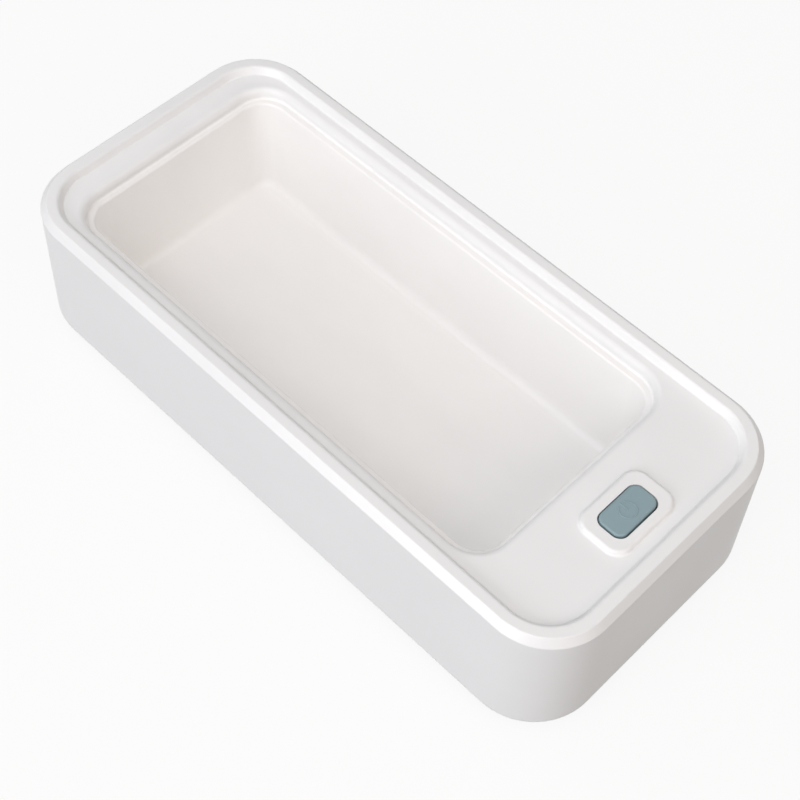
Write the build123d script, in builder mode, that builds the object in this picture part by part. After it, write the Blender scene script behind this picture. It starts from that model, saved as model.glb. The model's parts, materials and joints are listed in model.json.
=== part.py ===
from build123d import *
import math
import os

os.makedirs("parts", exist_ok=True)

# Housing, outside
body_length = 210.3
body_width = 97.3
body_corner = 20.3
body_height = 47.0
wall_draft = 1.4
wall = 2.5
foot_drop = 1.5
body_z = foot_drop
rim_z = body_z + body_height
rim_bevel_width = 1.9
rim_bevel_height = 2.25
rim_edge_round = 0.5
bottom_round = 3.6

# Recess inside the rim, seat of a loose lid
ledge_z = rim_z - 2.35
recess_length = 195.0
recess_width = 82.6
recess_corner = 13.0
recess_taper = 27.0
recess_top_round = 1.1
recess_foot_round = 0.5
deck_under_z = rim_z - 5.2

# Opening over the tank
tank_x = -9.9
opening_length = 160.4
opening_width = 75.5
opening_corner = 10.0
opening_round = 2.0

# Tank tub
ring_z = deck_under_z - 0.75
ring_foot_round = 0.6
mouth_length = 157.0
mouth_width = 70.6
mouth_corner = 8.2
mouth_round = 0.8
tub_wall = 1.8
tub_draft = 6.0
tank_floor_z = 10.0
tub_under_z = tank_floor_z - tub_wall
floor_round = 3.0
flange_left = -101.0
flange_right = 77.0
flange_width = 89.0
flange_left_corner = 16.2
flange_right_corner = 4.0
flange_thickness = 2.0
flange_under_z = deck_under_z - flange_thickness
gasket_offset = 1.3
gasket_width = 1.2
gasket_depth = 1.0

# Screw columns that carry the base plate
column_radius = 2.8
column_pilot = 1.0
column_pilot_depth = 9.0
column_outward = {
    (95.2, 38.7): 45,
    (tank_x, 43.1): 90,
    (-95.2, 38.7): 135,
    (-95.2, -38.7): 225,
    (tank_x, -43.1): 270,
    (95.2, -38.7): 315,
}
column_points = list(column_outward)
column_web_length = 4.0
column_web_thickness = 3.0
column_notch = column_radius + 0.3

# Screws up through the tub flange
tank_screw_points = [(x, y) for x in (-83.0, -45.0, 32.0, 73.0) for y in (-42.4, 42.4)]
tank_screw_points += [(-98.9, -18.0), (-98.9, 18.0)]
small_shank = 0.85
small_clearance = 1.2
small_head = 2.1
small_head_height = 1.4
tank_pilot_depth = 2.8

# Base plate
plate_z = body_z + 0.3
plate_thickness = 2.0
plate_top_z = plate_z + plate_thickness
plate_gap = 0.3
plate_length = body_length - 2 * wall - 2 * plate_gap
plate_width = body_width - 2 * wall - 2 * plate_gap
plate_corner = body_corner - wall - plate_gap
base_screw_hole = 1.4
base_screw_head = 2.2
base_screw_length = 9.0
rib_y = 32.0
rib_x = -10.0
rib_length = 120.0
rib_thickness = 1.5
rib_height = 3.0

# Feet
foot_points = {
    "foot_front_left": (-78.0, -33.0),
    "foot_front_right": (78.0, -33.0),
    "foot_back_left": (-78.0, 33.0),
    "foot_back_right": (78.0, 33.0),
}
foot_radius = 6.0
foot_recess = 0.8
foot_gap = 0.1

# Transducer under the tank floor
bond_thickness = 0.3
spreader_radius = 24.0
spreader_thickness = 0.8
ceramic_radius = 19.0
ceramic_thickness = 2.0
spreader_top_z = tub_under_z - bond_thickness
ceramic_top_z = spreader_top_z - spreader_thickness
ceramic_under_z = ceramic_top_z - ceramic_thickness
pocket_radius = 30.0
pocket_depth = 0.8
pad_x = (-58.0, 44.0)
pad_length = 12.0
pad_width = 28.0

# Driver board and what stands on it
post_height = 4.0
board_z = plate_top_z + post_height
board_thickness = 1.6
board_top_z = board_z + board_thickness
board_left = 72.0
board_right = 99.5
board_front = -33.0
board_back = 31.0
tongue_right = 84.5
tongue_back = 43.5
board_screw_points = [(74.6, -30.0), (96.5, -31.0), (74.6, 28.2), (96.3, 9.2)]
post_radius = 2.75
post_pilot_depth = 5.0

transformer_x, transformer_y = 83.0, 10.0
inductor_x, inductor_y = 93.5, -2.0
bulk_x, bulk_y = 77.3, 22.2
film_x, film_y = 95.0, 22.0
sink_x, sink_y = 90.0, -18.5
chip_x, chip_y = 78.5, -6.0
transducer_plug_x, transducer_plug_y = 72.9, -20.0
button_plug_x, button_plug_y = 81.2, -29.0
plug_pitch = 2.5

# Power jack in the back wall
jack_x = 78.0
jack_width = 9.0
jack_height = 11.0
jack_depth = 14.0
jack_face_y = 45.2
jack_axis_z = board_top_z + 6.5
jack_barrel = 3.15
jack_barrel_depth = 10.0
jack_pin_radius = 1.0
jack_hole = 5.5

# Button, its switch and its board
button_x = 86.7
island_x = 86.4
island_y = 0.15
island_length = 15.9
island_width = 24.9
island_corner = 4.6
island_height = 1.4
island_taper = 15.0
island_z = ledge_z + island_height
island_round = 1.1
island_foot_round = 0.7
button_hole_length = 9.5
button_hole_width = 16.7
button_hole_corner = 3.0
button_gap = 0.38
button_lean = (-0.18, 0.24)
button_top_z = island_z + 0.2
button_travel = 0.4
flange_step = 0.9
button_flange_top_z = deck_under_z - 0.2
button_flange_thickness = 1.0
button_flange_z = button_flange_top_z - button_flange_thickness
button_board_thickness = 1.2
button_board_top_z = 35.6
button_board_z = button_board_top_z - button_board_thickness
button_board_length = 16.0
button_board_width = 42.0
button_boss_y = 17.5
button_boss_radius = 2.5
switch_side = 6.0
switch_height = 4.0
switch_top_z = button_board_top_z + switch_height
plunger_radius = 1.7
plunger_top_z = switch_top_z + 1.0
plunger_depth = 1.2
plunger_well = 1.7
running_gap = 0.05

# Insulated leads
lead_radius = 0.55
lead_z = ceramic_under_z - 0.6
solder_length = 2.4
solder_width = 2.0
solder_height = 1.0


# Housing: drafted shell, rim, recessed ledge, deck and button island
with BuildPart() as housing:
    with BuildSketch(Plane.XY.offset(body_z)):
        RectangleRounded(body_length, body_width, body_corner)
    extrude(amount=body_height, taper=wall_draft)
    rim_face = housing.faces().sort_by(Axis.Z)[-1]
    chamfer(rim_face.edges(), rim_bevel_width, rim_bevel_height, reference=rim_face)
    rim_bevel_edges = housing.edges().filter_by_position(
        Axis.Z, rim_z - rim_bevel_height - 0.01, rim_z + 0.01, inclusive=(True, True)
    ).filter_by(lambda e: e.bounding_box().size.Z < 0.1)
    fillet(rim_bevel_edges, rim_edge_round)
    fillet(housing.faces().sort_by(Axis.Z)[0].edges(), bottom_round)

    # Recess inside the rim, wider at its top
    with BuildSketch(Plane.XY.offset(ledge_z)):
        RectangleRounded(recess_length, recess_width, recess_corner)
    extrude(amount=rim_z - ledge_z, taper=-recess_taper, mode=Mode.SUBTRACT)
    recess_rim = housing.edges().group_by(Axis.Z)[-1].filter_by(
        lambda e: abs(e.center().X) < recess_length / 2 + 2 and abs(e.center().Y) < recess_width / 2 + 2
    )
    fillet(recess_rim, recess_top_round)
    ledge_face = housing.faces().filter_by(Axis.Z).sort_by(Axis.Z)[-2]
    fillet(ledge_face.edges(), recess_foot_round)

    # Raised island round the button
    with BuildSketch(Plane.XY.offset(ledge_z)):
        with Locations((island_x, island_y)):
            RectangleRounded(island_length, island_width, island_corner)
    extrude(amount=island_height, taper=island_taper)
    island_top = housing.faces().filter_by(Axis.Z).filter_by_position(Axis.Z, island_z - 0.01, island_z + 0.01)
    fillet(island_top.edges(), island_round)
    island_foot = housing.edges().filter_by_position(Axis.Z, ledge_z - 0.01, ledge_z + 0.01).filter_by(
        lambda e: abs(e.center().X - island_x) < island_length / 2 + 0.1
        and abs(e.center().Y - island_y) < island_width / 2 + 0.1
    )
    fillet(island_foot, island_foot_round)

    # Hollow from below up to the deck
    with BuildSketch(Plane.XY.offset(body_z)):
        RectangleRounded(body_length - 2 * wall, body_width - 2 * wall, body_corner - wall)
    extrude(amount=deck_under_z - body_z, taper=wall_draft, mode=Mode.SUBTRACT)

    # Opening over the tank, rounded where it meets the ledge
    with BuildSketch(Plane.XY.offset(deck_under_z)):
        with Locations((tank_x, 0)):
            RectangleRounded(opening_length, opening_width, opening_corner)
    extrude(amount=ledge_z - deck_under_z, mode=Mode.SUBTRACT)
    opening_edge = housing.edges().filter_by_position(Axis.Z, ledge_z - 0.01, ledge_z + 0.01).filter_by(
        lambda e: abs(e.center().X - tank_x) < opening_length / 2 + 0.1
        and abs(e.center().Y) < opening_width / 2 + 0.1
    )
    fillet(opening_edge, opening_round)

    # Button hole through deck and island
    with BuildSketch(Plane.XY.offset(deck_under_z)):
        with Locations((button_x, 0)):
            RectangleRounded(button_hole_length, button_hole_width, button_hole_corner)
    extrude(amount=island_z - deck_under_z, mode=Mode.SUBTRACT)

    # Columns for the base screws, each with a web to the wall, and bosses for the button board
    with BuildSketch(Plane.XY.offset(plate_top_z)):
        with Locations(*column_points):
            Circle(column_radius)
        with Locations(*[Location((x, y, 0), (0, 0, turn)) for (x, y), turn in column_outward.items()]):
            Rectangle(column_web_length, column_web_thickness, align=(Align.MIN, Align.CENTER))
    extrude(amount=deck_under_z - plate_top_z)
    with BuildSketch(Plane.XY.offset(button_board_top_z)):
        with Locations((button_x, -button_boss_y), (button_x, button_boss_y)):
            Circle(button_boss_radius)
    extrude(amount=deck_under_z - button_board_top_z)

    # Pilot holes for all the screws that enter the housing
    with BuildSketch(Plane.XY.offset(plate_top_z)):
        with Locations(*column_points):
            Circle(column_pilot)
    extrude(amount=column_pilot_depth, mode=Mode.SUBTRACT)
    with BuildSketch(Plane.XY.offset(button_board_top_z)):
        with Locations((button_x, -button_boss_y), (button_x, button_boss_y)):
            Circle(small_shank)
    extrude(amount=5.5, mode=Mode.SUBTRACT)
    with BuildSketch(Plane.XY.offset(deck_under_z)):
        with Locations(*tank_screw_points):
            Circle(small_shank)
    extrude(amount=tank_pilot_depth, mode=Mode.SUBTRACT)

    # Round hole in the back wall in front of the power jack
    with BuildSketch(Plane.XZ.offset(-jack_face_y + 2.0)):
        with Locations((jack_x, jack_axis_z)):
            Circle(jack_hole)
    extrude(amount=-7.0, mode=Mode.SUBTRACT)

housing.part.label = "housing"
export_step(housing.part, "parts/housing.step")


# Tank tub: drafted basin with a flange that lies under the deck
with BuildPart() as tank_tub:
    with BuildSketch(Plane.XY.offset(ring_z)):
        with Locations((tank_x, 0)):
            RectangleRounded(mouth_length + 2 * tub_wall, mouth_width + 2 * tub_wall, mouth_corner + tub_wall)
    extrude(amount=-(ring_z - tub_under_z), taper=tub_draft)
    fillet(tank_tub.faces().sort_by(Axis.Z)[0].edges(), floor_round + tub_wall - 0.4)
    with BuildSketch(Plane.XY.offset(flange_under_z)) as flange_outline:
        with Locations(((flange_left + flange_right) / 2, 0)):
            Rectangle(flange_right - flange_left, flange_width)
        fillet(flange_outline.vertices().group_by(Axis.X)[0], flange_left_corner)
        fillet(flange_outline.vertices().group_by(Axis.X)[-1], flange_right_corner)
    extrude(amount=flange_thickness)
    with BuildSketch(Plane.XY.offset(flange_under_z)):
        with Locations(*column_points):
            Circle(column_notch)
        with Locations(*tank_screw_points):
            Circle(small_clearance)
    extrude(amount=flange_thickness, mode=Mode.SUBTRACT)

    # Sunk ring round the mouth, flush with the wall of the opening and rounded at its foot
    with BuildSketch(Plane.XY.offset(ring_z)):
        with Locations((tank_x, 0)):
            RectangleRounded(opening_length, opening_width, opening_corner)
    extrude(amount=deck_under_z - ring_z, mode=Mode.SUBTRACT)
    ring_foot = tank_tub.edges().filter_by_position(Axis.Z, ring_z - 0.01, ring_z + 0.01)
    fillet(ring_foot, ring_foot_round)

    # Basin inside, with its floor and mouth rounded
    with BuildSketch(Plane.XY.offset(ring_z)):
        with Locations((tank_x, 0)):
            RectangleRounded(mouth_length, mouth_width, mouth_corner)
    extrude(amount=-(ring_z - tank_floor_z), taper=tub_draft, mode=Mode.SUBTRACT)
    tank_floor = tank_tub.faces().filter_by(Axis.Z).filter_by_position(
        Axis.Z, tank_floor_z - 0.01, tank_floor_z + 0.01
    )
    fillet(tank_floor.edges(), floor_round)
    mouth_edge = tank_tub.edges().filter_by_position(Axis.Z, ring_z - 0.01, ring_z + 0.01).filter_by(
        lambda e: abs(e.center().X - tank_x) < mouth_length / 2 + 0.1
        and abs(e.center().Y) < mouth_width / 2 + 0.1
    )
    fillet(mouth_edge, mouth_round)

    # Groove for the gasket
    with BuildSketch(Plane.XY.offset(deck_under_z)):
        with Locations((tank_x, 0)):
            RectangleRounded(
                opening_length + 2 * gasket_offset + gasket_width,
                opening_width + 2 * gasket_offset + gasket_width,
                opening_corner + gasket_offset + gasket_width / 2,
            )
            RectangleRounded(
                opening_length + 2 * gasket_offset - gasket_width,
                opening_width + 2 * gasket_offset - gasket_width,
                opening_corner + gasket_offset - gasket_width / 2,
                mode=Mode.SUBTRACT,
            )
    extrude(amount=-gasket_depth, mode=Mode.SUBTRACT)

tank_tub.part.label = "tank_tub"
export_step(tank_tub.part, "parts/tank_tub.step")


# Gasket that fills the groove round the opening
with BuildPart() as tank_gasket:
    with BuildSketch(Plane.XY.offset(deck_under_z)):
        with Locations((tank_x, 0)):
            RectangleRounded(
                opening_length + 2 * gasket_offset + gasket_width,
                opening_width + 2 * gasket_offset + gasket_width,
                opening_corner + gasket_offset + gasket_width / 2,
            )
            RectangleRounded(
                opening_length + 2 * gasket_offset - gasket_width,
                opening_width + 2 * gasket_offset - gasket_width,
                opening_corner + gasket_offset - gasket_width / 2,
                mode=Mode.SUBTRACT,
            )
    extrude(amount=-gasket_depth)

tank_gasket.part.label = "tank_gasket"
export_step(tank_gasket.part, "parts/tank_gasket.step")


# Pan-head screws that hold the tub flange, heads down
with BuildPart() as tank_screws:
    with BuildSketch(Plane.XY.offset(flange_under_z)):
        with Locations(*tank_screw_points):
            Circle(small_head)
    extrude(amount=-small_head_height)
    fillet(tank_screws.edges().group_by(Axis.Z)[0], 0.5)
    with BuildSketch(Plane.XY.offset(flange_under_z)):
        with Locations(*tank_screw_points):
            Circle(small_shank)
    extrude(amount=flange_thickness + tank_pilot_depth - 0.3)
    with BuildSketch(Plane.XY.offset(flange_under_z - small_head_height)):
        with Locations(*tank_screw_points):
            Rectangle(2.2, 0.5)
            Rectangle(0.5, 2.2)
    extrude(amount=0.7, mode=Mode.SUBTRACT)

tank_screws.part.label = "tank_screws"
export_step(tank_screws.part, "parts/tank_screws.step")


# Base plate: closes the housing, carries the feet, the driver board and the pads
with BuildPart() as base_plate:
    with BuildSketch(Plane.XY.offset(plate_z)):
        RectangleRounded(plate_length, plate_width, plate_corner)
    extrude(amount=plate_thickness)
    chamfer(base_plate.edges().group_by(Axis.Z)[0], 0.5)
    with BuildSketch(Plane.XY.offset(plate_top_z)):
        with Locations((rib_x, -rib_y), (rib_x, rib_y)):
            SlotOverall(rib_length, rib_thickness)
    extrude(amount=rib_height)
    with BuildSketch(Plane.XY.offset(plate_top_z)):
        with Locations(*board_screw_points):
            Circle(post_radius)
    extrude(amount=post_height)
    with BuildSketch(Plane.XY.offset(board_z)):
        with Locations(*board_screw_points):
            Circle(small_shank)
    extrude(amount=-post_pilot_depth, mode=Mode.SUBTRACT)
    with BuildSketch(Plane.XY.offset(plate_top_z)):
        with Locations((tank_x, 0)):
            Circle(pocket_radius)
    extrude(amount=-pocket_depth, mode=Mode.SUBTRACT)
    with BuildSketch(Plane.XY.offset(plate_z)):
        with Locations(*foot_points.values()):
            Circle(foot_radius + foot_gap)
    extrude(amount=foot_recess, mode=Mode.SUBTRACT)
    with Locations(*[Plane(origin=(x, y, plate_z), z_dir=(0, 0, -1)) for x, y in column_points]):
        CounterSinkHole(base_screw_hole, base_screw_head, depth=plate_thickness, counter_sink_angle=90)

base_plate.part.label = "base_plate"
export_step(base_plate.part, "parts/base_plate.step")


# Countersunk screws through the base plate into the columns
with BuildPart() as base_screws:
    head_height = base_screw_head - column_pilot
    with BuildSketch(Plane.XY.offset(plate_z)):
        with Locations(*column_points):
            Circle(base_screw_head - 0.05)
    extrude(amount=head_height, taper=45)
    with BuildSketch(Plane.XY.offset(plate_z + head_height - 0.3)):
        with Locations(*column_points):
            Circle(column_pilot)
    extrude(amount=base_screw_length - head_height)
    with BuildSketch(Plane.XY.offset(plate_z)):
        with Locations(*column_points):
            Rectangle(2.4, 0.6)
            Rectangle(0.6, 2.4)
    extrude(amount=0.8, mode=Mode.SUBTRACT)

base_screws.part.label = "base_screws"
export_step(base_screws.part, "parts/base_screws.step")


# Rubber feet in recesses of the base plate
for foot_name, (foot_x, foot_y) in foot_points.items():
    with BuildPart() as foot:
        with BuildSketch(Plane.XY):
            with Locations((foot_x, foot_y)):
                Circle(foot_radius)
        extrude(amount=plate_z + foot_recess)
        fillet(foot.edges().group_by(Axis.Z)[0], 0.7)
    foot.part.label = foot_name
    export_step(foot.part, f"parts/{foot_name}.step")


# Transducer: adhesive layer, steel spreader disc and piezo ceramic disc
disc_layers = {
    "transducer_bond": (spreader_top_z, spreader_radius, bond_thickness),
    "transducer_plate": (ceramic_top_z, spreader_radius, spreader_thickness),
    "transducer_ceramic": (ceramic_under_z, ceramic_radius, ceramic_thickness),
}
for disc_name, (disc_z, disc_radius, disc_thickness) in disc_layers.items():
    with BuildPart() as disc:
        with BuildSketch(Plane.XY.offset(disc_z)):
            with Locations((tank_x, 0)):
                Circle(disc_radius)
        extrude(amount=disc_thickness)
    disc.part.label = disc_name
    export_step(disc.part, f"parts/{disc_name}.step")


# Routes of the four insulated leads
lead_row = (transducer_plug_y + plug_pitch / 2, transducer_plug_y - plug_pitch / 2)
solder_points = [(-4.0, -9.0), (-7.0, -13.5)]
rise_x = 70.4
plug_entry_z = board_top_z + 3.0
lead_routes = {
    "transducer_lead_red": (
        [
            (solder_points[0][0] + solder_length / 2, solder_points[0][1], lead_z),
            (10.0, solder_points[0][1], lead_z),
            (28.0, lead_row[0], lead_z),
            (rise_x, lead_row[0], lead_z),
            (rise_x, lead_row[0], plug_entry_z),
            (transducer_plug_x, lead_row[0], plug_entry_z),
        ],
        [14.0, 14.0, 4.5, 2.2],
    ),
    "transducer_lead_black": (
        [
            (solder_points[1][0] + solder_length / 2, solder_points[1][1], lead_z),
            (7.0, solder_points[1][1], lead_z),
            (22.0, lead_row[1], lead_z),
            (rise_x, lead_row[1], lead_z),
            (rise_x, lead_row[1], plug_entry_z),
            (transducer_plug_x, lead_row[1], plug_entry_z),
        ],
        [14.0, 14.0, 4.5, 2.2],
    ),
}
button_plug_top_z = board_top_z + 7.0
for lead_name, lead_shift in (("button_lead_red", -plug_pitch / 2), ("button_lead_black", plug_pitch / 2)):
    lead_routes[lead_name] = (
        [
            (button_plug_x + 2.0 + lead_shift, -13.0, button_board_z),
            (button_plug_x + 2.0 + lead_shift, -13.0, 28.5),
            (button_plug_x + lead_shift, button_plug_y, 23.0),
            (button_plug_x + lead_shift, button_plug_y, button_plug_top_z),
        ],
        [3.5, 3.5],
    )

# Leads as tubes of straight runs and tangent arcs
for lead_name, (lead_points, lead_radii) in lead_routes.items():
    with BuildPart() as lead:
        with BuildLine() as lead_line:
            FilletPolyline(*lead_points, radius=lead_radii)
        with BuildSketch(Plane(origin=lead_line.line @ 0, z_dir=lead_line.line % 0)):
            Circle(lead_radius)
        sweep()
    lead_volume = math.pi * lead_radius**2 * sum(edge.length for edge in lead_line.edges())
    print(lead_name, "radii", lead_radii, "volume ratio", round(lead.part.volume / lead_volume, 4))
    lead.part.label = lead_name
    export_step(lead.part, f"parts/{lead_name}.step")


# Solder joints on the ceramic
with BuildPart() as solder_joints:
    with BuildSketch(Plane.XY.offset(ceramic_under_z)):
        with Locations(*solder_points):
            RectangleRounded(solder_length, solder_width, 0.6)
    extrude(amount=-solder_height)
    fillet(solder_joints.edges().group_by(Axis.Z)[0], 0.35)

solder_joints.part.label = "solder_joints"
export_step(solder_joints.part, "parts/solder_joints.step")


# Clips that hold the transducer leads on the base plate
with BuildPart() as lead_clips:
    with BuildSketch(Plane.XY.offset(plate_top_z)):
        with Locations((38.0, transducer_plug_y), (58.0, transducer_plug_y)):
            RectangleRounded(6.0, 7.0, 0.8)
    extrude(amount=2.2)
    fillet(lead_clips.edges().group_by(Axis.Z)[-1], 0.5)
    with BuildSketch(Plane.YZ.offset(30.0)):
        with Locations((lead_row[0], lead_z), (lead_row[1], lead_z)):
            Circle(lead_radius)
    extrude(amount=36.0, mode=Mode.SUBTRACT)

lead_clips.part.label = "lead_clips"
export_step(lead_clips.part, "parts/lead_clips.step")


# Foam pads between the base plate and the tub
for pad_name, pad_centre in zip(("tank_pad_left", "tank_pad_right"), pad_x):
    with BuildPart() as tank_pad:
        with BuildSketch(Plane.XY.offset(plate_top_z)):
            with Locations((pad_centre, 0)):
                RectangleRounded(pad_length, pad_width, 1.5)
        extrude(amount=tub_under_z - plate_top_z)
    tank_pad.part.label = pad_name
    export_step(tank_pad.part, f"parts/{pad_name}.step")


# Driver board with a tongue under the power jack
with BuildPart() as driver_board:
    with BuildSketch(Plane.XY.offset(board_z)) as board_outline:
        with BuildLine():
            Polyline(
                (board_left, board_front),
                (board_right, board_front),
                (board_right, board_back),
                (tongue_right, board_back),
                (tongue_right, tongue_back),
                (board_left, tongue_back),
                close=True,
            )
        make_face()
        fillet(board_outline.vertices(), 1.2)
        with Locations(*board_screw_points):
            Circle(small_clearance, mode=Mode.SUBTRACT)
    extrude(amount=board_thickness)

driver_board.part.label = "driver_board"
export_step(driver_board.part, "parts/driver_board.step")


# Pan-head screws that hold the driver board on its posts
with BuildPart() as board_screws:
    with BuildSketch(Plane.XY.offset(board_top_z)):
        with Locations(*board_screw_points):
            Circle(small_head)
    extrude(amount=small_head_height)
    fillet(board_screws.edges().group_by(Axis.Z)[-1], 0.5)
    with BuildSketch(Plane.XY.offset(board_top_z)):
        with Locations(*board_screw_points):
            Circle(small_shank)
    extrude(amount=-(board_thickness + post_pilot_depth - 0.5))
    with BuildSketch(Plane.XY.offset(board_top_z + small_head_height)):
        with Locations(*board_screw_points):
            Rectangle(2.2, 0.5)
            Rectangle(0.5, 2.2)
    extrude(amount=-0.7, mode=Mode.SUBTRACT)

board_screws.part.label = "board_screws"
export_step(board_screws.part, "parts/board_screws.step")


# Transformer: ferrite frame round a bobbin with its winding
core_z = board_top_z + 3.0
core_length, core_width, core_height = 16.0, 5.0, 12.0
yoke, outer_leg, centre_leg = 2.0, 2.5, 4.0
window_z = core_z + yoke
window_height = core_height - 2 * yoke
window_length = (core_length - 2 * outer_leg - centre_leg) / 2
window_shift = centre_leg / 2 + window_length / 2
bobbin_length, bobbin_width, bobbin_flange = 10.4, 13.4, 0.8
tube_wall = 0.6

with BuildPart() as transformer_core:
    with BuildSketch(Plane.XZ.offset(-transformer_y - core_width / 2)):
        with Locations((transformer_x, core_z + core_height / 2)):
            RectangleRounded(core_length, core_height, 0.4)
        with Locations(
            (transformer_x - window_shift, core_z + core_height / 2),
            (transformer_x + window_shift, core_z + core_height / 2),
        ):
            Rectangle(window_length, window_height, mode=Mode.SUBTRACT)
    extrude(amount=core_width)

transformer_core.part.label = "transformer_core"
export_step(transformer_core.part, "parts/transformer_core.step")

with BuildPart() as transformer_bobbin:
    with BuildSketch(Plane.XY.offset(board_top_z)):
        with Locations((transformer_x, transformer_y)):
            RectangleRounded(15.0, 14.0, 0.6)
    extrude(amount=core_z - board_top_z)
    with BuildSketch(Plane.XY.offset(core_z)):
        with Locations((transformer_x, transformer_y)):
            Rectangle(bobbin_length, bobbin_width)
            Rectangle(bobbin_length, core_width, mode=Mode.SUBTRACT)
    extrude(amount=yoke)
    with BuildSketch(Plane.XY.offset(window_z), Plane.XY.offset(window_z + window_height - bobbin_flange)):
        with Locations((transformer_x, transformer_y)):
            Rectangle(bobbin_length, bobbin_width)
            Rectangle(centre_leg, core_width, mode=Mode.SUBTRACT)
    extrude(amount=bobbin_flange)
    with BuildSketch(Plane.XY.offset(window_z)):
        with Locations((transformer_x, transformer_y)):
            Rectangle(centre_leg + 2 * tube_wall, core_width + 2 * tube_wall)
            Rectangle(centre_leg, core_width, mode=Mode.SUBTRACT)
    extrude(amount=window_height)

transformer_bobbin.part.label = "transformer_bobbin"
export_step(transformer_bobbin.part, "parts/transformer_bobbin.step")

with BuildPart() as transformer_winding:
    with BuildSketch(Plane.XY.offset(window_z + bobbin_flange)):
        with Locations((transformer_x, transformer_y)):
            RectangleRounded(9.8, 12.6, 1.8)
            Rectangle(centre_leg + 2 * tube_wall, core_width + 2 * tube_wall, mode=Mode.SUBTRACT)
    extrude(amount=window_height - 2 * bobbin_flange)

transformer_winding.part.label = "transformer_winding"
export_step(transformer_winding.part, "parts/transformer_winding.step")


# Inductor: drum core with its winding
drum_radius, drum_waist, drum_flange, drum_height = 5.0, 2.5, 1.5, 11.0
with BuildPart() as inductor_core:
    with BuildSketch(Plane.XY.offset(board_top_z), Plane.XY.offset(board_top_z + drum_height - drum_flange)):
        with Locations((inductor_x, inductor_y)):
            Circle(drum_radius)
    extrude(amount=drum_flange)
    with BuildSketch(Plane.XY.offset(board_top_z)):
        with Locations((inductor_x, inductor_y)):
            Circle(drum_waist)
    extrude(amount=drum_height)

inductor_core.part.label = "inductor_core"
export_step(inductor_core.part, "parts/inductor_core.step")

with BuildPart() as inductor_winding:
    with BuildSketch(Plane.XY.offset(board_top_z + drum_flange)):
        with Locations((inductor_x, inductor_y)):
            Circle(drum_radius - 0.6)
            Circle(drum_waist, mode=Mode.SUBTRACT)
    extrude(amount=drum_height - 2 * drum_flange)

inductor_winding.part.label = "inductor_winding"
export_step(inductor_winding.part, "parts/inductor_winding.step")


# Capacitors
with BuildPart() as bulk_capacitor:
    with BuildSketch(Plane.XY.offset(board_top_z)):
        with Locations((bulk_x, bulk_y)):
            Circle(3.15)
    extrude(amount=11.0)
    fillet(bulk_capacitor.edges().group_by(Axis.Z)[-1], 0.5)
    fillet(bulk_capacitor.edges().group_by(Axis.Z)[0], 0.4)

bulk_capacitor.part.label = "bulk_capacitor"
export_step(bulk_capacitor.part, "parts/bulk_capacitor.step")

with BuildPart() as film_capacitor:
    with BuildSketch(Plane.XY.offset(board_top_z)):
        with Locations((film_x, film_y)):
            RectangleRounded(6.0, 13.0, 0.8)
    extrude(amount=11.0)
    fillet(film_capacitor.edges().group_by(Axis.Z)[-1], 0.6)

film_capacitor.part.label = "film_capacitor"
export_step(film_capacitor.part, "parts/film_capacitor.step")


# Heat sink with fins toward the end wall
sink_length, sink_height, sink_base = 18.0, 18.0, 2.0
fin_length, fin_thickness, fin_count = 6.0, 1.0, 6
fin_pitch = (sink_length - fin_thickness) / (fin_count - 1)
transistor_z = board_top_z + 2.6
transistor_hole_z = transistor_z + 12.8
with BuildPart() as heat_sink:
    with BuildSketch(Plane.XY.offset(board_top_z)):
        with Locations((sink_x + sink_base / 2, sink_y)):
            Rectangle(sink_base, sink_length)
        with Locations((sink_x + sink_base + fin_length / 2, sink_y)):
            with GridLocations(0, fin_pitch, 1, fin_count):
                Rectangle(fin_length, fin_thickness)
    extrude(amount=sink_height)
    with BuildSketch(Plane.YZ.offset(sink_x)):
        with Locations((sink_y, transistor_hole_z)):
            Circle(1.25)
    extrude(amount=sink_base, mode=Mode.SUBTRACT)

heat_sink.part.label = "heat_sink"
export_step(heat_sink.part, "parts/heat_sink.step")


# Power transistor flat against the heat sink, its three legs down to the board
tab_thickness, transistor_body = 1.3, 3.2
with BuildPart() as power_transistor:
    with BuildSketch(Plane.YZ.offset(sink_x - tab_thickness)):
        with Locations((sink_y, transistor_z + 7.8)):
            Rectangle(10.0, 15.6)
        with Locations((sink_y, transistor_hole_z)):
            Circle(1.6, mode=Mode.SUBTRACT)
    extrude(amount=tab_thickness)
    with BuildSketch(Plane.YZ.offset(sink_x - tab_thickness)):
        with Locations((sink_y, transistor_z + 4.6)):
            Rectangle(10.0, 9.2)
    extrude(amount=-transistor_body, taper=3)
    with BuildSketch(Plane.XY.offset(board_top_z)):
        with Locations((sink_x - tab_thickness - 1.4, sink_y)):
            with GridLocations(0, 2.54, 1, 3):
                Rectangle(0.6, 0.9)
    extrude(amount=transistor_z - board_top_z + 1.0)

power_transistor.part.label = "power_transistor"
export_step(power_transistor.part, "parts/power_transistor.step")

with BuildPart() as heat_sink_screw:
    with BuildSketch(Plane.YZ.offset(sink_x - tab_thickness)):
        with Locations((sink_y, transistor_hole_z)):
            Circle(2.6)
    extrude(amount=-1.9)
    fillet(heat_sink_screw.edges().group_by(Axis.X)[0], 0.8)
    with BuildSketch(Plane.YZ.offset(sink_x - tab_thickness)):
        with Locations((sink_y, transistor_hole_z)):
            Circle(1.25)
    extrude(amount=tab_thickness + sink_base)
    with BuildSketch(Plane.YZ.offset(sink_x - tab_thickness - 1.9)):
        with Locations((sink_y, transistor_hole_z)):
            Rectangle(2.8, 0.6)
            Rectangle(0.6, 2.8)
    extrude(amount=0.9, mode=Mode.SUBTRACT)

heat_sink_screw.part.label = "heat_sink_screw"
export_step(heat_sink_screw.part, "parts/heat_sink_screw.step")


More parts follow.
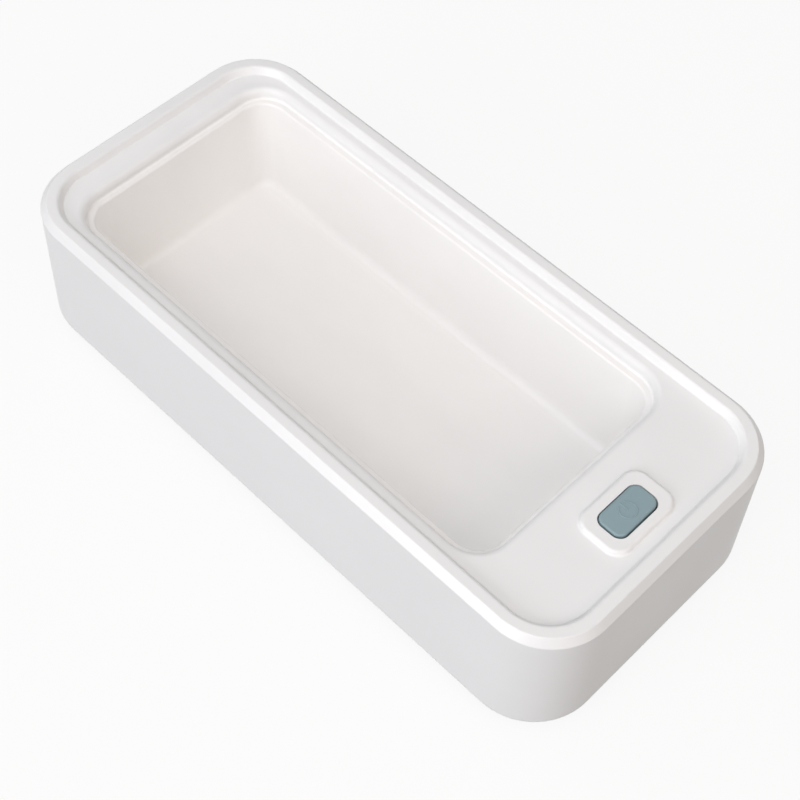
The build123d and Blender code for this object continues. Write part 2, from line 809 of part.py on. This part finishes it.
# Timer chip with four legs a side
with BuildPart() as timer_chip:
    with BuildSketch(Plane.XY.offset(board_top_z + 0.2)):
        with Locations((chip_x, chip_y)):
            Rectangle(5.0, 4.0)
    extrude(amount=1.4)
    chamfer(timer_chip.edges().group_by(Axis.Z)[-1], 0.25)
    with BuildSketch(Plane.XY.offset(board_top_z)):
        with Locations((chip_x, chip_y - 2.4), (chip_x, chip_y + 2.4)):
            with GridLocations(1.27, 0, 4, 1):
                Rectangle(0.4, 1.2)
    extrude(amount=0.5)

timer_chip.part.label = "timer_chip"
export_step(timer_chip.part, "parts/timer_chip.step")


# Lead connectors, one entered from the side and one from above
with BuildPart() as transducer_connector:
    with BuildSketch(Plane.XY.offset(board_top_z)):
        with Locations((transducer_plug_x + 3.25, transducer_plug_y)):
            Rectangle(6.5, 7.4)
    extrude(amount=5.8)
    chamfer(transducer_connector.edges().group_by(Axis.Z)[-1], 0.4)
    with BuildSketch(Plane.XY.offset(board_top_z + 5.8)):
        with Locations((transducer_plug_x + 3.25, transducer_plug_y)):
            Rectangle(3.0, 4.6)
    extrude(amount=-0.8, mode=Mode.SUBTRACT)

transducer_connector.part.label = "transducer_connector"
export_step(transducer_connector.part, "parts/transducer_connector.step")

with BuildPart() as button_connector:
    with BuildSketch(Plane.XY.offset(board_top_z)):
        with Locations((button_plug_x, button_plug_y)):
            Rectangle(7.4, 5.8)
    extrude(amount=7.0)
    with BuildSketch(Plane.XY.offset(board_top_z + 2.0)):
        with Locations((button_plug_x, button_plug_y - 2.9), (button_plug_x, button_plug_y + 2.9)):
            Rectangle(3.0, 1.0)
    extrude(amount=5.0, mode=Mode.SUBTRACT)

button_connector.part.label = "button_connector"
export_step(button_connector.part, "parts/button_connector.step")


# Power jack behind the hole in the back wall, and its centre pin
with BuildPart() as power_jack:
    with BuildSketch(Plane.XY.offset(board_top_z)):
        with Locations((jack_x, jack_face_y - jack_depth / 2)):
            Rectangle(jack_width, jack_depth)
    extrude(amount=jack_height)
    chamfer(power_jack.edges().filter_by(Axis.Y).group_by(Axis.Z)[-1], 1.2)
    with BuildSketch(Plane.XZ.offset(-jack_face_y)):
        with Locations((jack_x, jack_axis_z)):
            Circle(jack_barrel)
    extrude(amount=jack_barrel_depth, mode=Mode.SUBTRACT)
    with BuildSketch(Plane.XZ.offset(-jack_face_y + jack_barrel_depth)):
        with Locations((jack_x, jack_axis_z)):
            Circle(jack_pin_radius)
    extrude(amount=2.0, mode=Mode.SUBTRACT)

power_jack.part.label = "power_jack"
export_step(power_jack.part, "parts/power_jack.step")

with BuildPart() as jack_pin:
    with BuildSketch(Plane.XZ.offset(-jack_face_y + jack_barrel_depth + 2.0)):
        with Locations((jack_x, jack_axis_z)):
            Circle(jack_pin_radius)
    extrude(amount=-jack_barrel_depth - 1.0)
    fillet(jack_pin.edges().group_by(Axis.Y)[-1], 0.5)

jack_pin.part.label = "jack_pin"
export_step(jack_pin.part, "parts/jack_pin.step")


# Button board hung from two bosses under the deck
with BuildPart() as button_board:
    with BuildSketch(Plane.XY.offset(button_board_z)):
        with Locations((button_x, 0)):
            RectangleRounded(button_board_length, button_board_width, 1.5)
        with Locations((button_x, -button_boss_y), (button_x, button_boss_y)):
            Circle(small_clearance, mode=Mode.SUBTRACT)
    extrude(amount=button_board_thickness)

button_board.part.label = "button_board"
export_step(button_board.part, "parts/button_board.step")

with BuildPart() as button_board_screws:
    with BuildSketch(Plane.XY.offset(button_board_z)):
        with Locations((button_x, -button_boss_y), (button_x, button_boss_y)):
            Circle(small_head)
    extrude(amount=-small_head_height)
    fillet(button_board_screws.edges().group_by(Axis.Z)[0], 0.5)
    with BuildSketch(Plane.XY.offset(button_board_z)):
        with Locations((button_x, -button_boss_y), (button_x, button_boss_y)):
            Circle(small_shank)
    extrude(amount=button_board_thickness + 5.0)
    with BuildSketch(Plane.XY.offset(button_board_z - small_head_height)):
        with Locations((button_x, -button_boss_y), (button_x, button_boss_y)):
            Rectangle(2.2, 0.5)
            Rectangle(0.5, 2.2)
    extrude(amount=0.7, mode=Mode.SUBTRACT)

button_board_screws.part.label = "button_board_screws"
export_step(button_board_screws.part, "parts/button_board_screws.step")


# Tact switch: body with a well, four legs and a plunger that runs in the well
with BuildPart() as tact_switch_body:
    with BuildSketch(Plane.XY.offset(button_board_top_z)):
        with Locations((button_x, 0)):
            Rectangle(switch_side, switch_side)
    extrude(amount=switch_height)
    chamfer(tact_switch_body.edges().group_by(Axis.Z)[-1], 0.3)
    with BuildSketch(Plane.XY.offset(switch_top_z)):
        with Locations((button_x, 0)):
            Circle(plunger_radius + running_gap)
    extrude(amount=-plunger_well, mode=Mode.SUBTRACT)

tact_switch_body.part.label = "tact_switch_body"
export_step(tact_switch_body.part, "parts/tact_switch_body.step")

with BuildPart() as tact_switch_legs:
    with BuildSketch(Plane.XY.offset(button_board_top_z)):
        with Locations((button_x, 0)):
            with GridLocations(switch_side + 1.0, 4.5, 2, 2):
                Rectangle(1.0, 0.7)
    extrude(amount=0.4)

tact_switch_legs.part.label = "tact_switch_legs"
export_step(tact_switch_legs.part, "parts/tact_switch_legs.step")

with BuildPart() as tact_switch_plunger:
    with BuildSketch(Plane.XY.offset(switch_top_z - plunger_depth)):
        with Locations((button_x, 0)):
            Circle(plunger_radius)
    extrude(amount=plunger_top_z - switch_top_z + plunger_depth)
    chamfer(tact_switch_plunger.edges().group_by(Axis.Z)[-1], 0.2)

tact_switch_plunger.part.label = "tact_switch_plunger"
export_step(tact_switch_plunger.part, "parts/tact_switch_plunger.step")


# Power button: cap with a raised power symbol, retaining flange and post. The cap rests a little
# off the middle of its hole.
cap_length = button_hole_length - 2 * button_gap
cap_width = button_hole_width - 2 * button_gap
cap_corner = button_hole_corner - button_gap
symbol_radius, symbol_line, symbol_height = 2.4, 0.45, 0.15
cap_x, cap_y = button_x + button_lean[0], button_lean[1]
with BuildPart() as power_button:
    with BuildSketch(Plane.XY.offset(button_flange_top_z)):
        with Locations((cap_x, cap_y)):
            RectangleRounded(cap_length, cap_width, cap_corner)
    extrude(amount=button_top_z - button_flange_top_z)
    fillet(power_button.edges().group_by(Axis.Z)[-1], 0.7)
    with BuildSketch(Plane.XY.offset(button_flange_z)):
        with Locations((cap_x, cap_y)):
            RectangleRounded(cap_length + 2 * flange_step, cap_width + 2 * flange_step, cap_corner + flange_step)
    extrude(amount=button_flange_thickness)
    with BuildSketch(Plane.XY.offset(button_flange_z)):
        with Locations((cap_x, cap_y)):
            Circle(1.6)
    extrude(amount=-(button_flange_z - plunger_top_z))
    with BuildSketch(Plane.XY.offset(button_top_z)):
        with Locations((cap_x, cap_y)):
            Circle(symbol_radius + symbol_line / 2)
            Circle(symbol_radius - symbol_line / 2, mode=Mode.SUBTRACT)
        with Locations((cap_x - symbol_radius, cap_y)):
            Rectangle(2.4, 2.0, mode=Mode.SUBTRACT)
        with Locations((cap_x - 1.5, cap_y)):
            SlotOverall(3.1, symbol_line)
    extrude(amount=symbol_height)
    fillet(power_button.edges().group_by(Axis.Z)[-1], 0.1)

power_button.part.label = "power_button"
export_step(power_button.part, "parts/power_button.step")


# Silicone boot: a collar on the button board that lifts and seals the button
with BuildPart() as button_boot:
    with BuildSketch(Plane.XY.offset(button_board_top_z)):
        with Locations((button_x, 0)):
            RectangleRounded(cap_length + 2 * flange_step, cap_width + 2 * flange_step, cap_corner + flange_step)
            RectangleRounded(cap_length - 0.6, cap_width - 0.6, cap_corner - 0.3, mode=Mode.SUBTRACT)
    extrude(amount=button_flange_z - button_board_top_z)

button_boot.part.label = "button_boot"
export_step(button_boot.part, "parts/button_boot.step")
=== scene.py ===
import json

import bpy
from mathutils import Euler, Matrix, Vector


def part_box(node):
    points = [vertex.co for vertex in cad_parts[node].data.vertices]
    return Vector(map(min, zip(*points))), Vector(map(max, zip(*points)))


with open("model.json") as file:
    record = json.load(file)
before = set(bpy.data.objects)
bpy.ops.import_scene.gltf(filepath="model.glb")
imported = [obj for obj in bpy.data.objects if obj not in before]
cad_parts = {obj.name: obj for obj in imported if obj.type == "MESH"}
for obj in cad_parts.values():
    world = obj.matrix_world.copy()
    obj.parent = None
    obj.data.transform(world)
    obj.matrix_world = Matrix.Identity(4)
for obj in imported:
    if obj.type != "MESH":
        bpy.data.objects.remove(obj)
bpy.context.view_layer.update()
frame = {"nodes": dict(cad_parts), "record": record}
scene = bpy.context.scene
scene.view_settings.view_transform = "Standard"
nodes = frame["nodes"]

# Camera, solved from the outline of the housing in an 800 x 800 picture
CAMERA_PLACE = (0.178413, -0.190371, 0.390351)
CAMERA_TURN = (0.5960, -0.0321, 0.7806)
CAMERA_LENS = 70.559
SENSOR_WIDTH = 36.0

# Softboxes: place, size, power in watts and colour, all aimed at the middle of the object
LAMP_TARGET = (0.0, 0.0, 0.03)
LAMPS = {
    "front_low": ((0.0, -1.1, 0.3), 0.8, 6.9, (1.0, 1.0, 1.03)),
    "front_right": ((0.35, -0.72, 0.8), 0.8, 2.25, (1.0, 1.0, 1.02)),
    "above": ((0.0, -0.5, 1.05), 0.8, 3.05, (1.0, 1.0, 1.03)),
    "right": ((0.85, 0.0, 0.7), 0.8, 2.4, (1.16, 1.0, 0.88)),
    "back": ((0.0, 0.75, 0.85), 0.8, 1.45, (1.0, 1.0, 1.0)),
    "left": ((-0.8, 0.0, 0.8), 0.8, 1.55, (1.0, 1.0, 1.0)),
}

# World strength on the object, and strength in view
WORLD_STRENGTH = 0.24
WORLD_SEEN = 1.0

# Floor: half its side, its grey in view and in bounced light, and its share of plain white in view
FLOOR_HALF = 3.0
FLOOR_SEEN = 0.8
FLOOR_BOUNCE = 0.14
FLOOR_GLOW = 0.88

# Moulded surfaces: flow marks from the mould, shallow sink marks, and how deep light scatters in silicone
FLOW_SCALE, FLOW_STRETCH = 26.0, (1.0, 2.2, 1.6)
SINK_SCALE, SINK_HEIGHT = 60.0, 0.00002
SCATTER_DEPTH = (0.0016, 0.0014, 0.0013)

# Enamelled wire: clouds in the lacquer and fine drawing marks
LACQUER_SCALE, DRAWING_SCALE = 500.0, 2500.0

# Circuit board: size of the track fields, width of a track, clouds in the mask, and the glass weave
TRACK_SCALE, TRACK_EDGE, TRACK_HEIGHT = 420.0, (0.10, 0.16), 0.00003
MASK_SCALE, WEAVE_SCALE, WEAVE_HEIGHT = 90.0, 2400.0, 0.000004

# Capacitor sleeve: where its stripe and its bare top begin, and the colour of the top
STRIPE_EDGE, TOP_EDGE = (0.0022, 0.0023), (-0.0004, -0.0003)
TOP_COLOUR = (0.62, 0.62, 0.63)


# Camera
def make_camera():
    data = bpy.data.cameras.new("camera")
    data.lens = CAMERA_LENS
    data.sensor_width = SENSOR_WIDTH
    data.clip_start = 0.01
    camera = bpy.data.objects.new("camera", data)
    camera.location = CAMERA_PLACE
    camera.rotation_euler = Euler(CAMERA_TURN, "XYZ")
    scene.collection.objects.link(camera)
    scene.camera = camera


# Nodes that the materials share
class Surface:
    """One material under construction: its tree, its shader and the noise that its parts share."""

    def __init__(self, name, metallic=0.0, coat=0.0, coat_rough=0.1, subsurface=0.0):
        self.material = bpy.data.materials.new(name)
        self.material.use_nodes = True
        self.tree = self.material.node_tree
        self.tree.nodes.clear()
        output = self.tree.nodes.new("ShaderNodeOutputMaterial")
        self.shader = self.tree.nodes.new("ShaderNodeBsdfPrincipled")
        self.shader.inputs["Metallic"].default_value = metallic
        self.shader.inputs["Coat Weight"].default_value = coat
        self.shader.inputs["Coat Roughness"].default_value = coat_rough
        self.shader.inputs["Subsurface Weight"].default_value = subsurface
        self.shader.inputs["Subsurface Radius"].default_value = SCATTER_DEPTH
        self.shader.inputs["Subsurface Scale"].default_value = 1.0
        self.tree.links.new(self.shader.outputs[0], output.inputs[0])
        self.place = self.tree.nodes.new("ShaderNodeTexCoord").outputs["Object"]

    def add(self, kind, **values):
        """A node with its sockets set or linked by name."""
        node = self.tree.nodes.new("ShaderNode" + kind)
        for key, value in values.items():
            socket = node.inputs[key.replace("_", " ")]
            if isinstance(value, bpy.types.NodeSocket):
                self.tree.links.new(value, socket)
            else:
                socket.default_value = value
        return node

    def stretched(self, scale):
        """Object coordinates stretched by a scale along each axis."""
        return self.add("Mapping", Vector=self.place, Scale=scale).outputs[0]

    def noise(self, scale, detail=2.0, vector=None):
        """Noise over object coordinates, or over coordinates that are given."""
        return self.add("TexNoise", Vector=vector or self.place, Scale=scale, Detail=detail).outputs["Fac"]

    def cells(self, scale, feature="F1"):
        """Distance to the nearest cell centre, or to the nearest cell edge."""
        node = self.add("TexVoronoi", Vector=self.place, Scale=scale)
        node.feature = feature
        return node.outputs["Distance"]

    def ramp(self, factor, stops):
        """Colours at positions along a factor."""
        node = self.add("ValToRGB", Fac=factor)
        elements = node.color_ramp.elements
        while len(elements) < len(stops):
            elements.new(0.5)
        for element, (position, colour) in zip(elements, stops):
            element.position = position
            element.color = tuple(colour) + (1.0,)
        return node.outputs["Color"]

    def spread(self, factor, low, high, start=0.3, stop=0.7):
        """A factor mapped to a range of numbers."""
        node = self.add("MapRange", Value=factor, From_Min=start, From_Max=stop, To_Min=low, To_Max=high)
        return node.outputs[0]

    def colour(self, socket):
        self.tree.links.new(socket, self.shader.inputs["Base Color"])

    def rough(self, socket):
        self.tree.links.new(socket, self.shader.inputs["Roughness"])

    def bumps(self, *layers):
        """Stacked bumps, each a height socket and its height in metres."""
        normal = None
        for height, distance in layers:
            bump = self.add("Bump", Height=height, Distance=distance, Strength=1.0)
            if normal is not None:
                self.tree.links.new(normal, bump.inputs["Normal"])
            normal = bump.outputs[0]
        self.tree.links.new(normal, self.shader.inputs["Normal"])


def shade(colour, factor):
    """A colour made darker or lighter, no lighter than white."""
    return tuple(min(1.0, c * factor) for c in colour)


def blend(first, second, surface, factor):
    """A mix of two colours, from the first to the second as the factor goes from zero to one."""
    node = surface.tree.nodes.new("ShaderNodeMix")
    node.data_type = "RGBA"
    surface.tree.links.new(factor, node.inputs["Factor"])
    colour_inputs = [socket for socket in node.inputs if socket.type == "RGBA"]
    for value, socket in zip((first, second), colour_inputs):
        if isinstance(value, bpy.types.NodeSocket):
            surface.tree.links.new(value, socket)
        else:
            socket.default_value = tuple(value) + (1.0,)
    return next(socket for socket in node.outputs if socket.type == "RGBA")


# Materials
def moulded(name, colour, rough, grain_scale, grain_height, tint=0.015, rough_spread=0.05, **gloss):
    """Moulded plastic or rubber: flow marks in colour and gloss, slight sink marks and a fine grain."""
    surface = Surface(name, **gloss)
    flow = surface.noise(FLOW_SCALE, 3.0, surface.stretched(FLOW_STRETCH))
    surface.colour(surface.ramp(flow, [(0.3, shade(colour, 1 - tint)), (0.7, shade(colour, 1 + tint))]))
    surface.rough(surface.spread(flow, rough - rough_spread, rough + rough_spread))
    grain = surface.noise(grain_scale, 2.0)
    surface.bumps((surface.noise(SINK_SCALE, 1.0), SINK_HEIGHT), (grain, grain_height))
    return surface.material


def plated(name, colour, rough, streaks, streak_height):
    """Plated, brushed or extruded metal: streaks along one axis over faint clouds of tarnish."""
    surface = Surface(name, metallic=1.0)
    cloud = surface.noise(300.0, 4.0)
    surface.colour(surface.ramp(cloud, [(0.3, shade(colour, 0.88)), (0.7, shade(colour, 1.06))]))
    lines = surface.noise(1.0, 3.0, surface.stretched(streaks))
    surface.rough(surface.spread(lines, rough - 0.08, rough + 0.1))
    surface.bumps((lines, streak_height), (cloud, streak_height / 2))
    return surface.material


def wire(name, colour, mark_height):
    """Enamelled copper wire: amber lacquer of uneven depth over the metal."""
    surface = Surface(name, metallic=1.0, coat=0.6, coat_rough=0.12)
    lacquer = surface.noise(LACQUER_SCALE, 3.0)
    tones = [(0.25, shade(colour, 0.7)), (0.55, colour), (0.8, shade(colour, 1.25))]
    surface.colour(surface.ramp(lacquer, tones))
    surface.rough(surface.spread(lacquer, 0.2, 0.36))
    surface.bumps((surface.noise(DRAWING_SCALE, 2.0), mark_height))
    return surface.material


def circuit_board(name, mask, track):
    """Solder mask over copper tracks round small fields, with a faint glass weave."""
    surface = Surface(name, coat=0.3, coat_rough=0.2)
    tracks = surface.spread(surface.cells(TRACK_SCALE, "DISTANCE_TO_EDGE"), 1.0, 0.0, *TRACK_EDGE)
    cloud = surface.noise(MASK_SCALE, 3.0)
    plain = surface.ramp(cloud, [(0.3, shade(mask, 0.9)), (0.7, shade(mask, 1.12))])
    surface.colour(blend(plain, track, surface, tracks))
    surface.rough(surface.spread(cloud, 0.26, 0.38))
    surface.bumps((tracks, TRACK_HEIGHT), (surface.noise(WEAVE_SCALE, 1.0), WEAVE_HEIGHT))
    return surface.material


def speckled(name, colour, speck, scale, rough, pit, **gloss):
    """Pressed, fired or cured stuff: specks of a second colour and small pits."""
    surface = Surface(name, **gloss)
    grain = surface.noise(scale, 4.0)
    surface.colour(surface.ramp(grain, [(0.42, colour), (0.6, shade(colour, 1.1)), (0.68, speck)]))
    surface.rough(surface.spread(grain, rough - 0.06, rough + 0.08))
    surface.bumps((surface.noise(scale * 0.4, 2.0), pit), (grain, pit / 3))
    return surface.material


def foam(name, colour):
    """Closed-cell foam: rounded cells with darker walls between them."""
    surface = Surface(name)
    cells = surface.cells(1700.0)
    surface.colour(surface.ramp(cells, [(0.1, shade(colour, 1.6)), (0.7, shade(colour, 0.6))]))
    surface.rough(surface.spread(cells, 0.8, 0.97, 0.0, 1.0))
    surface.bumps((cells, 0.00012))
    return surface.material


def sleeve(name, colour, stripe, centre, height):
    """Shrink sleeve of a capacitor with a pale stripe down one side and a bare metal top."""
    surface = Surface(name, coat=0.4, coat_rough=0.15)
    split = surface.add("SeparateXYZ", Vector=surface.place)
    side = surface.spread(split.outputs["X"], 0.0, 1.0, *[centre[0] + edge for edge in STRIPE_EDGE])
    top = surface.spread(split.outputs["Z"], 0.0, 1.0, *[height + edge for edge in TOP_EDGE])
    cloud = surface.noise(350.0, 3.0)
    plain = surface.ramp(cloud, [(0.3, shade(colour, 0.85)), (0.7, shade(colour, 1.2))])
    striped = blend(plain, stripe, surface, side)
    surface.colour(blend(striped, TOP_COLOUR, surface, top))
    surface.tree.links.new(top, surface.shader.inputs["Metallic"])
    surface.rough(surface.spread(cloud, 0.24, 0.36))
    surface.bumps((cloud, 0.00001))
    return surface.material


def make_materials():
    """One material for each slot of the record: its maker, values and options."""
    capacitor_low, capacitor_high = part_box("bulk_capacitor")
    capacitor_centre = [(low + high) / 2 for low, high in zip(capacitor_low, capacitor_high)]
    table = {
        "white_plastic": (moulded, [(0.86, 0.86, 0.86), 0.34, 2600.0, 0.000003], {}),
        "tub_plastic": (moulded, [(0.92, 0.91, 0.90), 0.35, 2600.0, 0.000003], {}),
        "base_plastic": (moulded, [(0.78, 0.78, 0.78), 0.55, 1500.0, 0.000012], {}),
        "button_plastic": (moulded, [(0.25, 0.35, 0.38), 0.42, 3600.0, 0.000004], {"tint": 0.03}),
        "foot_rubber": (moulded, [(0.45, 0.46, 0.47), 0.80, 2300.0, 0.000015], {"tint": 0.05}),
        "silicone": (moulded, [(0.72, 0.72, 0.70), 0.45, 1800.0, 0.000006], {"subsurface": 0.3}),
        "screw_steel": (plated, [(0.58, 0.58, 0.59), 0.32, (900.0, 900.0, 5000.0), 0.000006], {}),
        "epoxy": (speckled, [(0.58, 0.50, 0.30), (0.70, 0.62, 0.42), 700.0, 0.25, 0.00003], {"coat": 0.3}),
        "spreader_steel": (plated, [(0.60, 0.60, 0.60), 0.30, (60.0, 3000.0, 3000.0), 0.000006], {}),
        "piezo_ceramic": (speckled, [(0.60, 0.57, 0.50), (0.74, 0.72, 0.68), 900.0, 0.42, 0.00001], {}),
        "red_insulation": (moulded, [(0.55, 0.03, 0.03), 0.38, 1800.0, 0.00001], {"tint": 0.08}),
        "black_insulation": (moulded, [(0.025, 0.025, 0.028), 0.38, 1800.0, 0.00001], {"tint": 0.1}),
        "solder": (plated, [(0.66, 0.66, 0.67), 0.24, (1200.0, 1200.0, 1200.0), 0.000012], {}),
        "foam": (foam, [(0.06, 0.06, 0.065)], {}),
        "board_green": (circuit_board, [(0.015, 0.13, 0.055), (0.035, 0.24, 0.10)], {}),
        "ferrite": (speckled, [(0.045, 0.045, 0.048), (0.11, 0.11, 0.115), 2600.0, 0.5, 0.00002], {}),
        "black_plastic": (moulded, [(0.022, 0.022, 0.024), 0.48, 1700.0, 0.00001], {"tint": 0.12}),
        "copper_wire": (wire, [(0.62, 0.27, 0.12), 0.000004], {}),
        "capacitor_sleeve": (
            sleeve, [(0.03, 0.04, 0.10), (0.55, 0.57, 0.62), capacitor_centre, capacitor_high[2]], {}
        ),
        "film_case": (speckled, [(0.50, 0.15, 0.04), (0.62, 0.24, 0.08), 500.0, 0.22, 0.00003], {"coat": 0.5}),
        "sink_aluminium": (plated, [(0.62, 0.62, 0.63), 0.36, (3000.0, 3000.0, 40.0), 0.00001], {}),
        "connector_plastic": (moulded, [(0.78, 0.75, 0.68), 0.40, 1600.0, 0.000008], {"tint": 0.03}),
    }
    return {name: maker(name, *values, **options) for name, (maker, values, options) in table.items()}


def dress_nodes(materials):
    """Each node takes the material of the slot that the record names for it."""
    for part in frame["record"]["subparts"]:
        slots = nodes[part["node"]].data.materials
        slots.clear()
        slots.append(materials[part["material_slot"]])


# Floor, world and lamps
def seen_or_mirrored(tree):
    """One for camera, glossy and transmission rays, zero for the rest."""
    path = tree.nodes.new("ShaderNodeLightPath")
    total = path.outputs["Is Camera Ray"]
    for ray in ("Is Glossy Ray", "Is Transmission Ray"):
        either = tree.nodes.new("ShaderNodeMath")
        either.operation = "MAXIMUM"
        tree.links.new(total, either.inputs[0])
        tree.links.new(path.outputs[ray], either.inputs[1])
        total = either.outputs[0]
    return total


def ranged(tree, factor, low, high):
    """A number that goes from low to high as a factor goes from zero to one."""
    span = tree.nodes.new("ShaderNodeMapRange")
    span.inputs["To Min"].default_value = low
    span.inputs["To Max"].default_value = high
    tree.links.new(factor, span.inputs["Value"])
    return span.outputs["Result"]


def make_floor():
    material = bpy.data.materials.new("floor")
    material.use_nodes = True
    tree = material.node_tree
    tree.nodes.clear()
    output = tree.nodes.new("ShaderNodeOutputMaterial")
    matte = tree.nodes.new("ShaderNodeBsdfDiffuse")
    glow = tree.nodes.new("ShaderNodeEmission")
    mix = tree.nodes.new("ShaderNodeMixShader")
    seen = seen_or_mirrored(tree)
    tone = tree.nodes.new("ShaderNodeCombineColor")
    for channel in ("Red", "Green", "Blue"):
        tree.links.new(ranged(tree, seen, FLOOR_BOUNCE, FLOOR_SEEN), tone.inputs[channel])
    tree.links.new(tone.outputs[0], matte.inputs["Color"])
    tree.links.new(ranged(tree, seen, 0.0, FLOOR_GLOW), mix.inputs["Fac"])
    tree.links.new(matte.outputs[0], mix.inputs[1])
    tree.links.new(glow.outputs[0], mix.inputs[2])
    tree.links.new(mix.outputs[0], output.inputs[0])
    mesh = bpy.data.meshes.new("floor")
    corners = [(x * FLOOR_HALF, y * FLOOR_HALF, 0.0) for x, y in ((-1, -1), (1, -1), (1, 1), (-1, 1))]
    mesh.from_pydata(corners, [], [(0, 1, 2, 3)])
    mesh.materials.append(material)
    floor = bpy.data.objects.new("floor", mesh)
    scene.collection.objects.link(floor)


def make_world():
    world = bpy.data.worlds.new("world")
    world.use_nodes = True
    scene.world = world
    tree = world.node_tree
    tree.nodes.clear()
    output = tree.nodes.new("ShaderNodeOutputWorld")
    background = tree.nodes.new("ShaderNodeBackground")
    strength = ranged(tree, seen_or_mirrored(tree), WORLD_STRENGTH, WORLD_SEEN)
    tree.links.new(strength, background.inputs["Strength"])
    tree.links.new(background.outputs[0], output.inputs[0])


def make_lamps():
    for name, (place, size, power, colour) in LAMPS.items():
        data = bpy.data.lights.new(name, "AREA")
        data.shape = "SQUARE"
        data.size = size
        data.energy = power
        data.color = colour
        lamp = bpy.data.objects.new(name, data)
        lamp.location = place
        lamp.rotation_euler = (Vector(LAMP_TARGET) - Vector(place)).to_track_quat("-Z", "Y").to_euler()
        scene.collection.objects.link(lamp)


make_camera()
materials = make_materials()
dress_nodes(materials)
make_floor()
make_world()
make_lamps()
